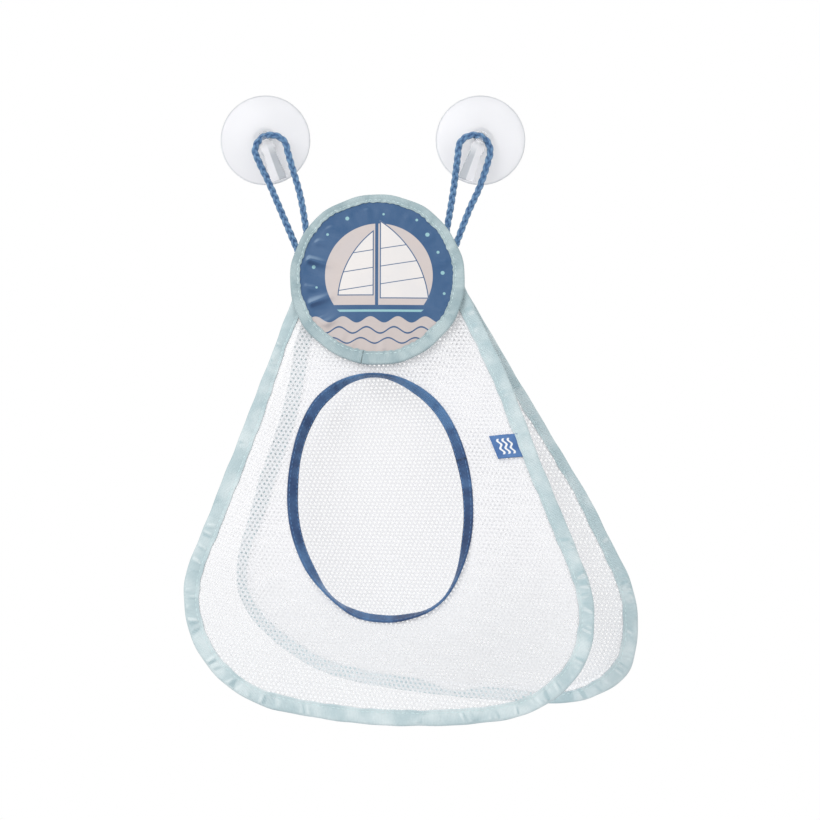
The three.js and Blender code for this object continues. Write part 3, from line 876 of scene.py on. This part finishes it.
def seam_tape(name, plane, body, node, low, high, from_down, narrows, bulge, shade, seed):
    """Tape along a panel's seam. narrows lists runs where it lies turned and shows less of its width,
    bulge(s) is how far its front layer lifts over what is sewn in under it, and shade(s) darkens it."""
    start = from_down / math.cos(SIDE)
    s = np.arange(start, SEAM_RUN - start, TAPE_STEP)
    at, outward = seam_at(s)
    inset, out, layer = tape_section(low, high, SEAM_PINCH).T
    grow = inset / TAPE_W
    edge = 0.2 * waves(s, (61, 37, 21), seed)[:, None]
    inner = 0.26 * waves(s, (38, 21, 13), seed + 1)[:, None]
    crease = waves(s, (34, 19, 12.5), seed + 2)[:, None]
    crease = crease * (0.14 + 0.22 * smooth(waves(s, (150, 90, 61), seed + 3), 0.1, 1.4))[:, None]
    pucker = 0.11 * waves(s, (6.8, 5.3, 9.1), seed + 4)
    draw = np.random.default_rng(seed + 5)
    corner = SIDE_RUN + CORNER_RUN * draw.uniform(-0.2, 1.2, 26)
    places = np.concatenate([corner, SEAM_RUN - corner, draw.uniform(start, SEAM_RUN - start, 34)])
    shift = edge * (1 - grow) + inner * grow
    for middle, reach, share in narrows:
        shift = shift - (1 - share) * bell(s, middle, reach)[:, None] * inset
    rise = crease * arch(grow) + pucker[:, None] * smooth(grow, 0.35, 0.9)
    rise = rise + cross_folds(s, inset, places, seed + 6) * (1 - 0.6 * smooth(inset, 6.5, 8))
    over = bulge(s)
    dip = -0.2 * bell(inset, SEAM_STITCH, 0.6)
    lift = layer * (rise + dip) + (layer > 0) * over[:, None] * smooth(inset, 3, 7.5)
    # Painted light and shade: lighter on one side of each fold and darker on the other, darker still where
    # shade(s) is
    slope = layer * np.gradient(rise, axis=0) / TAPE_STEP - shade(s)[:, None]
    x = at[:, None, 0] - outward[:, None, 0] * (inset + shift)
    y = at[:, None, 1] - outward[:, None, 1] * (inset + shift)
    values = {"along": s[:, None], "across": inset, "slope": slope}
    tape = skin(name, [on_cloth(plane, x, y, out + lift)], tape_look, values)
    settle(tape, body, node)
    p = at - outward * (SEAM_STITCH + shift[:, np.argmin(np.abs(inset - SEAM_STITCH))])[:, None]
    ridge = 0.4 * cross_folds(s, np.array([SEAM_STITCH]), places, seed + 6)[:, 0]
    rows = []
    for face, level in ((1, high - SEAM_PINCH), (-1, low + SEAM_PINCH)):
        off = level + face * (-0.12 + pucker + ridge) + (over if face > 0 else 0)
        rows.append([on_cloth(plane, *p.T, off + up) for up in (0, face)])
    sew(name + "_stitches", rows, 1.0, 2.3, 0.24, aqua_thread, body)


TAG_DOWN = 120
TAG_TILT = math.radians(6.5)
TAG_W = 16
TAG_REACH = 15.5
TAG_RUN = SEAM_RUN - TAG_DOWN / math.cos(SIDE)


def nowhere(s):
    return np.zeros(len(s))


def over_tag(s):
    return 0.9 * (1 - smooth(np.abs(s - TAG_RUN), TAG_W / 2, TAG_W / 2 + 3))


def shaded_foot(s):
    """The back's tape is darker round the foot, in the shade of the bag."""
    return 0.5 * smooth(s, 215, 255) * (1 - smooth(s, 470, 530))


FRONT_NARROWS = [(58, 38, 0.74)]
BACK_NARROWS = [
    (SIDE_RUN + 25, 45, 0.66),
    (SEAM_RUN / 2 + 2, 16, 0.4),
    (SEAM_RUN - 140, 60, 0.78),
    (SEAM_RUN - SIDE_RUN - CORNER_RUN, 30, 0.7),
]
seam_tape("front_tape", FRONT, "bag", "front_binding", -2.2, 1.3, 12, FRONT_NARROWS, over_tag, nowhere, 11)
seam_tape("back_tape", BACK, "back", "back_binding", -1.3, 2.2, 5, BACK_NARROWS, nowhere, shaded_foot, 31)

# Webbing round the mouth, which turns as it goes round

WEB_W = 7.6
WEB_T = 1.5
WEB_STITCH = 1.1


def mouth_webbing():
    count = 420
    angle = np.arange(count) * TAU / count - math.radians(19)
    shown = mouth_turn(angle, 2)[:, None] / math.hypot(WEB_W, WEB_T)
    tilt = np.arccos(np.clip(shown, 0, 1)) + math.atan2(WEB_T, WEB_W)
    sine, cosine = np.sin(tilt), np.cos(tilt)
    edge = WEB_T / 2 * sine - mouth_turn(angle, 1)[:, None]
    rise = 0.5 + 2.6 * smooth(sine, 0.5, 0.95)
    wave = 0.35 * round_waves(angle, (11, 17, 28), 71)[:, None]
    e = MOUTH_AT + MOUTH_HALF * circle(angle)
    n = unit(MOUTH_HALF[::-1] * circle(angle))

    def laid(u, v):
        """Points of the webbing, u across it and v off its middle."""
        inward = u * cosine + v * sine + edge
        out = rise + wave * u / WEB_W - u * sine + v * cosine
        return on_cloth(FRONT, e[:, :1] - n[:, :1] * inward, e[:, 1:] - n[:, 1:] * inward, out)

    across = np.linspace(0, WEB_W, 9)
    half = np.full(9, WEB_T / 2)
    half[[0, -1]] = WEB_T * 0.28
    u = np.concatenate([across, across[::-1]])
    v = np.concatenate([half, -half[::-1]])
    # Painted sheen, lighter or darker along the ring as the webbing turns
    shine = 0.4 * mouth_turn(angle, 3) + 0.1 * round_waves(angle, (23, 31, 47), 72)
    values = {"along": run_along(e)[:, None], "across": u, "slope": shine[:, None]}
    piece = skin("mouth_webbing", [laid(u, v)], webbing_look, values, loop=True)
    settle(piece, "bag", "opening_binding")
    level = WEB_T / 2 - 0.05
    rows = [[laid(off, level + up)[:, 0] for up in (0, 1)] for off in (WEB_STITCH, WEB_W - WEB_STITCH)]
    sew("mouth_stitches", rows, 1.0, 2.2, 0.2, blue_thread, "bag")


mouth_webbing()

# Head: printed face and plain backing with tape folded round them

HEAD_BACK = 1.9
HEAD_FRONT = 5.7
HEAD_PINCH = 0.35
HEAD_CLOTH_R = 55.5
HEAD_CLOTH_T = 0.5
CREASES = [
    # start across and down, end across and down, width, height
    (-52, -15, -28, -8, 1.7, 2.3), (-52, -9, -33, -2, 1.5, -1.3), (-51, 4, -34, 9, 1.6, 1.2),
    (-49, 19, -26, 10, 1.7, 2.1), (-46, 26, -28, 20, 1.5, -1.2), (-42, 32, -22, 26, 1.8, 1.2),
    (-46, -26, -26, -23, 2.0, 1.2), (-38, -36, -20, -30, 2.0, 0.9), (50, -8, 32, -12, 2.4, 0.6),
    (46, 24, 28, 15, 2.4, 0.6), (-8, -51, -4, -34, 2.6, 0.45), (22, 47, 16, 30, 2.4, 0.5),
    (-18, 49, -12, 34, 2.2, 0.5), (4, 50, 3, 38, 2.0, 0.4),
]


def on_head(x, y, out):
    return on_plane(FRONT, HEAD_X + x, HEAD_DOWN + y, out)


def head_relief(x, y):
    """How far the head's cloth stands up: a low dome, ripples along the tape, and creases."""
    r = np.hypot(x, y)
    ripple = round_waves(np.arctan2(y, x), (29, 18, 43), 81)
    total = 1.2 * (1 - smooth(r, 12, 48.5)) + 0.22 * ripple * np.exp(-np.maximum(46 - r, 0) / 5)
    for x0, y0, x1, y1, width, height in CREASES:
        run = math.hypot(x1 - x0, y1 - y0)
        dx, dy = (x1 - x0) / run, (y1 - y0) / run
        along = (x - x0) * dx + (y - y0) * dy
        off = (y - y0) * dx - (x - x0) * dy
        reach = smooth(along, -3, 4) * (1 - smooth(along, run * 0.3, run * 1.2))
        spread = width * (1 + 0.9 * np.clip(along / run, 0, 1))
        total = total + height * reach * bell(off, 0, spread)
    return np.maximum(total, -0.4) * (1 - smooth(r, 46.5, 49.5))


def head_disc(name, node, material, level, share):
    """A closed disc of cloth, with each point's place across and down the head kept for the print."""
    angle = np.arange(240) * TAU / 240
    r = np.linspace(0.3, HEAD_CLOTH_R, 70)[:, None]
    x, y = r * np.cos(angle), r * np.sin(angle)
    rise = level + head_relief(x, y) * share
    front, back = (on_head(x, y, rise + half) for half in (HEAD_CLOTH_T / 2, -HEAD_CLOTH_T / 2))
    # slope is how far the cloth faces up and to the left, towards the key lamp, for the print's painted light
    # and shade
    slope = (head_relief(x + 0.35, y + 0.6) - head_relief(x - 0.35, y - 0.6)) / 1.4
    values = {"across": x, "down": y, "slope": slope}
    values = {key: np.concatenate([value, value[::-1]]) for key, value in values.items()}
    return settle(skin(name, [np.concatenate([front, back[::-1]])], material, values), "bag", node)


def print_look():
    """A sailing boat before a low sun, printed on satin."""
    g = Paint("head_print", rough=0.4, specular=0.35, sheen=0.08, sheen_rough=0.35)
    x, y = g.value("across"), g.value("down")
    soft = 0.16
    swell_length = 18

    def line(a, b, c):
        return g.less(g.add(g.times(x, a), g.times(y, b)), c)

    def disc(cx, cy, r):
        return g.less(g.far(g.less(x, cx), g.less(y, cy)), r)

    def swell(level, height, shift):
        return g.less(g.less(y, level), g.times(g.sine(x, swell_length, shift), height))

    ground = (43, 82, 123)
    aqua = (140, 184, 190)
    main_sail = g.both(line(-1, 0, -1.6), line(0, 1, 13.5), disc(-38.8, 21.2, 73.2))
    jib = g.both(line(1, 0, -2.4), line(0, 1, 11.5), disc(37, 16.5, 63.4))
    sails = g.either(main_sail, jib)
    seams = g.either(*(g.band(line(0.16, 1, level), 0.28) for level in (-20, -8, 4)))
    mast = g.both(line(1, 0, 0.6), line(-1, 0, 1.5), line(0, 1, 18), line(0, -1, 41))
    hull = g.both(line(0, -1, -17.8), disc(2, -10, 42))
    sea = g.times(swell(27.5, 2.1, 0.0), -1.0)
    ripples = g.either(g.band(swell(34.5, 2.1, 0.9), 0.55), g.band(swell(41.5, 1.8, 2.2), 0.5))
    dots = (
        (33, -30, 1.4), (40, -18, 1.0), (26, -40, 0.9), (43, -4, 1.3), (-42, -8, 1.2), (-40, 6, 0.8),
        (44, 10, 0.9), (-20, -41, 1.3), (-33, -30, 0.9), (4, -44, 0.8),
    )
    colour = ground
    for shape, tone in (
        (g.both(disc(1, -2, 35.5), line(0, 1, 18)), (197, 187, 184)),
        (mast, ground),
        (sails, (222, 218, 216)),
        (g.band(g.add(sails, 0.35), 0.35), ground),
        (g.both(seams, g.add(sails, 0.3)), ground),
        (hull, ground),
        (g.both(hull, line(0, 1, 22.4), line(0, -1, -20.9)), aqua),
        (sea, (191, 181, 178)),
        (ripples, ground),
        (g.either(*(disc(*dot) for dot in dots)), aqua),
    ):
        colour = g.mix(g.step(shape, soft, -soft), colour, tone)
    # Painted highlight on crease sides that face the lamp, and painted shade on those that face away
    slope = g.value("slope")
    colour = g.coats(
        colour,
        (g.step(g.noise(45, 3), 0.35, 0.75), 0.08, (150, 172, 200)),
        (g.step(slope, 0.08, 0.7), 0.42, (168, 192, 216)),
        (g.step(slope, -0.08, -0.7), 0.55, (28, 52, 92)),
    )
    g.put(colour=colour)
    weave = g.times(g.sine(x, 0.42), g.sine(y, 0.36))
    g.bump(g.add(g.times(weave, 0.5), g.times(g.noise(1800, 2), 0.9)), 0.035)
    return g.material


head_cloth = head_disc("head_cloth", "head_face", print_look(), 4.3, 1.0)
head_lining = head_disc("head_lining", "head_backing", backing_cloth, 3.2, 0.12)


def head_tape():
    count = 430
    stitch_in = 1.7
    run_r = 52
    turn = np.arange(count) * TAU / count
    angle = (turn + math.radians(101))[:, None]
    width = 7.3 + 0.6 * np.cos(angle) + 1.55 * np.sin(angle)
    width = width + 0.24 * round_waves(angle, (7, 12, 19, 31), 91)
    width = width + 0.2 * round_waves(angle, (67, 83, 58), 95)
    inset, out, layer = tape_section(HEAD_BACK, HEAD_FRONT, HEAD_PINCH).T
    edge = 0.3 * round_waves(angle, (5, 9, 16), 92)
    crease = 0.24 * round_waves(angle, (13, 22, 37), 93)
    pucker = 0.16 * round_waves(angle, (52, 71, 41), 94)
    share = inset / TAPE_W
    deep = inset * np.where(inset > 1.5, width / TAPE_W, 1.0)
    rise = crease * arch(share) + pucker * smooth(share, 0.4, 0.95)
    dip = -0.3 * bell(deep, width - stitch_in, 0.7) - 0.3 * smooth(share, 0.93, 1.0)
    r = HEAD_R - edge - deep
    rings = on_head(r * np.cos(angle), r * np.sin(angle), out + layer * (rise + dip))
    # Painted light and shade: lighter on one side of each crease and darker on the other
    slope = layer * np.gradient(rise, axis=0) / (TAU * run_r / count) * 1.4
    values = {"along": (turn * run_r)[:, None], "across": deep, "slope": slope}
    tape = skin("head_tape", [rings], head_tape_look, values, loop=True)
    settle(tape, "bag", "head_binding")
    r = HEAD_R - edge - (width - stitch_in)
    x, y = (r * np.cos(angle))[:, 0], (r * np.sin(angle))[:, 0]
    levels = ((HEAD_FRONT - 0.55, 1), (HEAD_BACK + 0.55, -1))
    rows = [[on_head(x, y, level + up) for up in (0, face)] for level, face in levels]
    sew("head_stitches", rows, 0.5, 2.2, 0.22, aqua_thread, "bag")


head_tape()

# Tape folded over the top edges of both panels, behind the head

TOP_STITCH = 8.4
TOP_SECTION = [
    # panel, down, out
    (FRONT, 10, 1.25), (FRONT, 4, 1.28), (FRONT, -1.7, 1.2), (FRONT, -2.3, 0.4),
    (BACK, -2.4, -0.9), (BACK, -1.8, -1.8), (BACK, 1, -1.95), (BACK, 6, -1.98), (BACK, TOP_STITCH, -1.9),
    (BACK, 10, -1.95), (BACK, 10, -1.55), (BACK, -0.9, -1.5), (BACK, -1.5, -0.8),
    (FRONT, -1.5, 0.2), (FRONT, -1.1, 0.78), (FRONT, 10, 0.78),
]


def top_tape():
    x = np.arange(-42, 53.6, TAPE_STEP)
    wave = 0.14 * waves(x, (23, 14, 8.5), 111)
    rings = [
        on_plane(plane, x, down, out + (wave * smooth(down, 0, 8) if plane is BACK else 0))
        for plane, down, out in TOP_SECTION
    ]
    across = [down for _, down, _ in TOP_SECTION]
    # Painted light and shade: lighter on one side of each wave and darker on the other
    values = {"along": x[:, None], "across": across, "slope": 3 * np.gradient(wave, x)[:, None]}
    tape = skin("top_tape", [np.stack(rings, 1)], tape_look, values)
    settle(tape, "bag", "top_binding")
    row = [on_plane(BACK, x, TOP_STITCH, level + wave) for level in (-2, -3)]
    sew("top_stitches", [row], 1.0, 2.3, 0.24, aqua_thread, "bag")


top_tape()

# Folded tag in the front seam


def tag_look():
    """Three white wavy bands on blue."""
    g = Paint("tag", rough=0.6)
    x, y = g.value("along"), g.value("across")
    wave = g.times(g.sine(y, 5.4), 0.8)
    bands = [g.band(g.less(g.less(x, wave), level), 0.72) for level in (4.2, 7.6, 11.0)]
    mark = g.both(g.either(*bands), g.band(y, 5.4))
    ground = g.mix(g.step(g.noise(120, 2), 0.3, 0.7), (64, 104, 160), (84, 124, 178))
    g.put(colour=g.mix(g.step(mark, 0.12, -0.12), ground, (238, 240, 242)))
    g.bump(g.add(g.sine(x, 0.45), g.noise(2400, 2)), 0.04)
    return g.material


def side_tag():
    """The tag comes out from under the tape's inner edge, folds, and goes back under."""
    at, _ = seam_at(np.array([TAG_RUN]))
    along_seam = np.array([math.sin(SIDE), math.cos(SIDE)])
    inward = np.array([-math.cos(TAG_TILT), math.sin(TAG_TILT)])
    start = at[0] + inward * (TAPE_W + 0.3) / math.cos(SIDE - TAG_TILT)
    reach = np.concatenate([np.linspace(-2.6, TAG_REACH - 0.5, 24), [TAG_REACH - 0.1]])
    u = np.concatenate([reach, reach[::-1]])
    layer = np.concatenate([np.ones(24), [0.5, -0.5], -np.ones(24)])
    w = np.linspace(-TAG_W / 2, TAG_W / 2, 25)[:, None]
    free = smooth(u, -0.5, 5)
    bend = free * (0.5 * np.sin(u / 5) + 0.3 * np.sin(w / 4.2 + 0.6) * u / TAG_REACH)
    skins = []
    for shift in (1, -1):
        out = 0.64 + 0.75 * free + layer * (0.18 + 0.28 * free + shift * 0.16) + bend
        grow = 0.3 * shift * (np.abs(layer) < 1)
        x, y = (start[k] + inward[k] * (u + grow) + along_seam[k] * w for k in (0, 1))
        skins.append(on_cloth(FRONT, x, y, out))
    rings = np.concatenate([skins[0], skins[1][:, ::-1]], 1)
    values = {"along": np.concatenate([u, u[::-1]]), "across": w}
    return settle(skin("folded_tag", [rings], tag_look(), values), "bag", "side_tag")


tag = side_tag()

# Suction cups

CUP_PROFILE = [
    # radius, out
    (0, 3.6), (4, 3.57), (8, 3.48), (11.9, 3.3), (16, 2.85), (19.9, 2.2), (22.5, 1.5), (24.6, 0.7),
    (25.6, 0.25), (26.5, 0.02), (28, 0), (29.6, 0), (29.95, 0.15), (30, 0.4), (29.95, 0.7), (29.6, 0.92),
    (28, 1.5), (25.8, 2.27), (23, 3.1), (19.8, 3.9), (16.5, 4.52), (13.2, 4.97), (10.8, 5.22), (8.5, 5.36),
    (6.6, 5.4), (4.4, 5.45), (3.5, 5.6), (3.2, 5.9), (3.2, 7.2), (3.4, 7.5), (4.3, 7.62), (4.6, 7.9),
    (4.6, 8.5), (4.3, 8.9), (3.45, 9.25), (2, 9.3), (0, 9.3),
]


def turned(profile, segments):
    """Rings of a profile turned about the cup's axis."""
    r, out = np.array(profile, float).T[..., None]
    r = np.maximum(r, 0.02)
    angle = np.arange(segments) * TAU / segments
    return np.stack([r * np.cos(angle), -out + 0 * angle, r * np.sin(angle)], -1)


def suction_cup(name, node, x):
    cup = skin(name, [turned(CUP_PROFILE, 128) + [x, 0, 0]], cup_clear)
    settle(cup, "cups", node)


suction_cup("cup_left", "suction_cup_left", -CUP_X)
suction_cup("cup_right", "suction_cup_right", CUP_X)

# Hooks that snap on the cups' nubs

LEAF = [
    # down, half width, ridge share
    (-2.9, 0.4, 0.4), (-1.5, 0.8, 0.6), (0, 1.3, 0.8), (3, 2.5, 0.9), (7, 3.6, 1), (18, 4.6, 1),
    (28, 5.4, 0.9), (30.2, 5.1, 0.7),
]
LEAF_BACK = 17.2
LEAF_EDGE = 0.9
LEAF_TOP = 2.6
CAP = [(0, 5.8), (6.9, 5.8), (7.5, 6.4), (7.5, 9.7), (6.6, 10.6), (0, 10.6)]
BOSS = [(0, 6.2), (5.6, 6.2), (5.6, 10.6), (0, 10.6)]
PEG = [(0, 9.6), (4.9, 9.6), (4.9, 17.6), (0, 17.6)]
SOCKET = [(0, 5.2), (3.55, 5.2), (3.55, 7.25), (4.95, 7.25), (4.95, 8.95), (3.8, 9.65), (0, 9.65)]
PEG_DROP = [0, 0, -7.2]
VOXEL = 0.3


def leaf_rings():
    """The hook's front leaf, with a ridge down its middle."""
    down_at, half_at, ridge_at = np.array(LEAF).T
    down = np.linspace(down_at[0], down_at[-1], 60)
    half = np.interp(down, down_at, half_at)
    ridge = np.interp(down, down_at, ridge_at)
    back = np.full(60, LEAF_BACK)
    edge = LEAF_BACK + LEAF_EDGE * np.maximum(ridge, 0.6)
    across = np.stack([-half, half, half, 0 * half, -half], 1)
    out = np.stack([back, back, edge, LEAF_BACK + LEAF_TOP * ridge, edge], 1)
    return np.stack([across, -out, np.repeat(-down[:, None], 5, 1)], -1)


def evaluated(piece, name, material):
    """A plain mesh of a piece with its modifiers worked out."""
    shape = piece.evaluated_get(bpy.context.evaluated_depsgraph_get())
    made = linked(name, bpy.data.meshes.new_from_object(shape), material)
    bpy.data.objects.remove(piece)
    return made


def hook(name, node, body, x, turn):
    """Cap, boss, peg and leaf grown into one moulding, with the socket cut out of it."""
    parts = [turned(CAP, 72), turned(BOSS, 64) + PEG_DROP, turned(PEG, 64) + PEG_DROP, leaf_rings()]
    solid = skin("hook_solid", parts, hook_clear)
    remesh = solid.modifiers.new("remesh", "REMESH")
    remesh.mode = "VOXEL"
    remesh.voxel_size = VOXEL * MM
    remesh.use_smooth_shade = True
    relax = solid.modifiers.new("relax", "SMOOTH")
    relax.factor = 0.5
    relax.iterations = 6
    socket = skin("hook_socket", [turned(SOCKET, 64)], hook_clear)
    cut = solid.modifiers.new("cut", "BOOLEAN")
    cut.operation = "DIFFERENCE"
    cut.object = socket
    bpy.context.view_layer.update()
    piece = evaluated(solid, name, hook_clear)
    bpy.data.objects.remove(socket)
    points = np.array([v.co for v in piece.data.vertices])
    px, py, pz = points.T / MM
    inner = smooth(-px * math.copysign(1, x), -0.2, 0.5)
    # facet marks the leaf's inner facet, which is painted grey as shade
    values = {
        "leaf": smooth(-py, 15.5, 17.4) * smooth(-pz, -2, 8),
        "facet": inner * smooth(-py, 17.1, 17.5) * smooth(-pz, 3, 14),
    }
    keep_values(piece.data, values)
    c, s = math.cos(turn), math.sin(turn)
    moved = np.stack([c * px + s * pz + x, py, c * pz - s * px], -1) * MM
    piece.data.vertices.foreach_set("co", moved.astype(np.float32).ravel())
    piece.data.update()
    settle(piece, body, node)


HOOK_TURN = math.radians(20)
hook("clip_left", "hook_left", "left_hook", -CUP_X, -HOOK_TURN)
hook("clip_right", "hook_right", "right_hook", CUP_X, HOOK_TURN)

# Studio in metres: pale floor, soft lamps, white round the view

FLOOR_R = 0.95
FLOOR_Z = -0.6
SKY_UNSEEN = 0.66
AIM = (0.02, 0, -0.2)


def pale_floor():
    """A disc that fades out towards its rim."""
    count = 96
    angles = [i * TAU / count for i in range(count)]
    rim = [(FLOOR_R * math.cos(angle), FLOOR_R * math.sin(angle), FLOOR_Z) for angle in angles]
    data = bpy.data.meshes.new("floor")
    data.from_pydata(rim, [], [list(range(count))])
    g = Paint("floor", rough=0.9, colour=(240, 240, 242))
    g.put(alpha=g.step(g.far(g.spot[0], g.spot[1]), 0.7, 0.3))
    data.materials.append(g.material)
    floor = bpy.data.objects.new("floor", data)
    scene.collection.objects.link(floor)


def studio_sky():
    """White where it is seen, mirrored or seen through, and dimmer as a light."""
    world = bpy.data.worlds.new("studio")
    g = Graph(world)
    rays = g.node("ShaderNodeLightPath").outputs
    seen = g.add(g.add(rays["Is Camera Ray"], rays["Is Transmission Ray"]), rays["Is Glossy Ray"])
    level = g.node("ShaderNodeMapRange", **{"Value": seen, "To Min": SKY_UNSEEN, "To Max": 1.0})
    sky = g.tree.nodes["Background"]
    g.set(sky.inputs["Color"], (255, 255, 255))
    g.set(sky.inputs["Strength"], level.outputs[0])
    scene.world = world


def lamp(name, place, size, power):
    light = bpy.data.lights.new(name, "AREA")
    light.shape = "DISK"
    light.size = size
    light.energy = power
    item = bpy.data.objects.new(name, light)
    item.location = place
    x, y, z = np.subtract(AIM, place)
    item.rotation_euler = (math.atan2(math.hypot(x, y), -z), 0, math.atan2(y, x) - math.pi / 2)
    item.visible_camera = False
    item.visible_transmission = False
    scene.collection.objects.link(item)


pale_floor()
studio_sky()
lamp("key", (-0.9, -1.5, 0.75), 1.4, 21)
lamp("fill", (1.1, -1.4, 0.1), 1.2, 4.5)
lamp("back", (0.9, 1.5, 0.7), 1.4, 10)
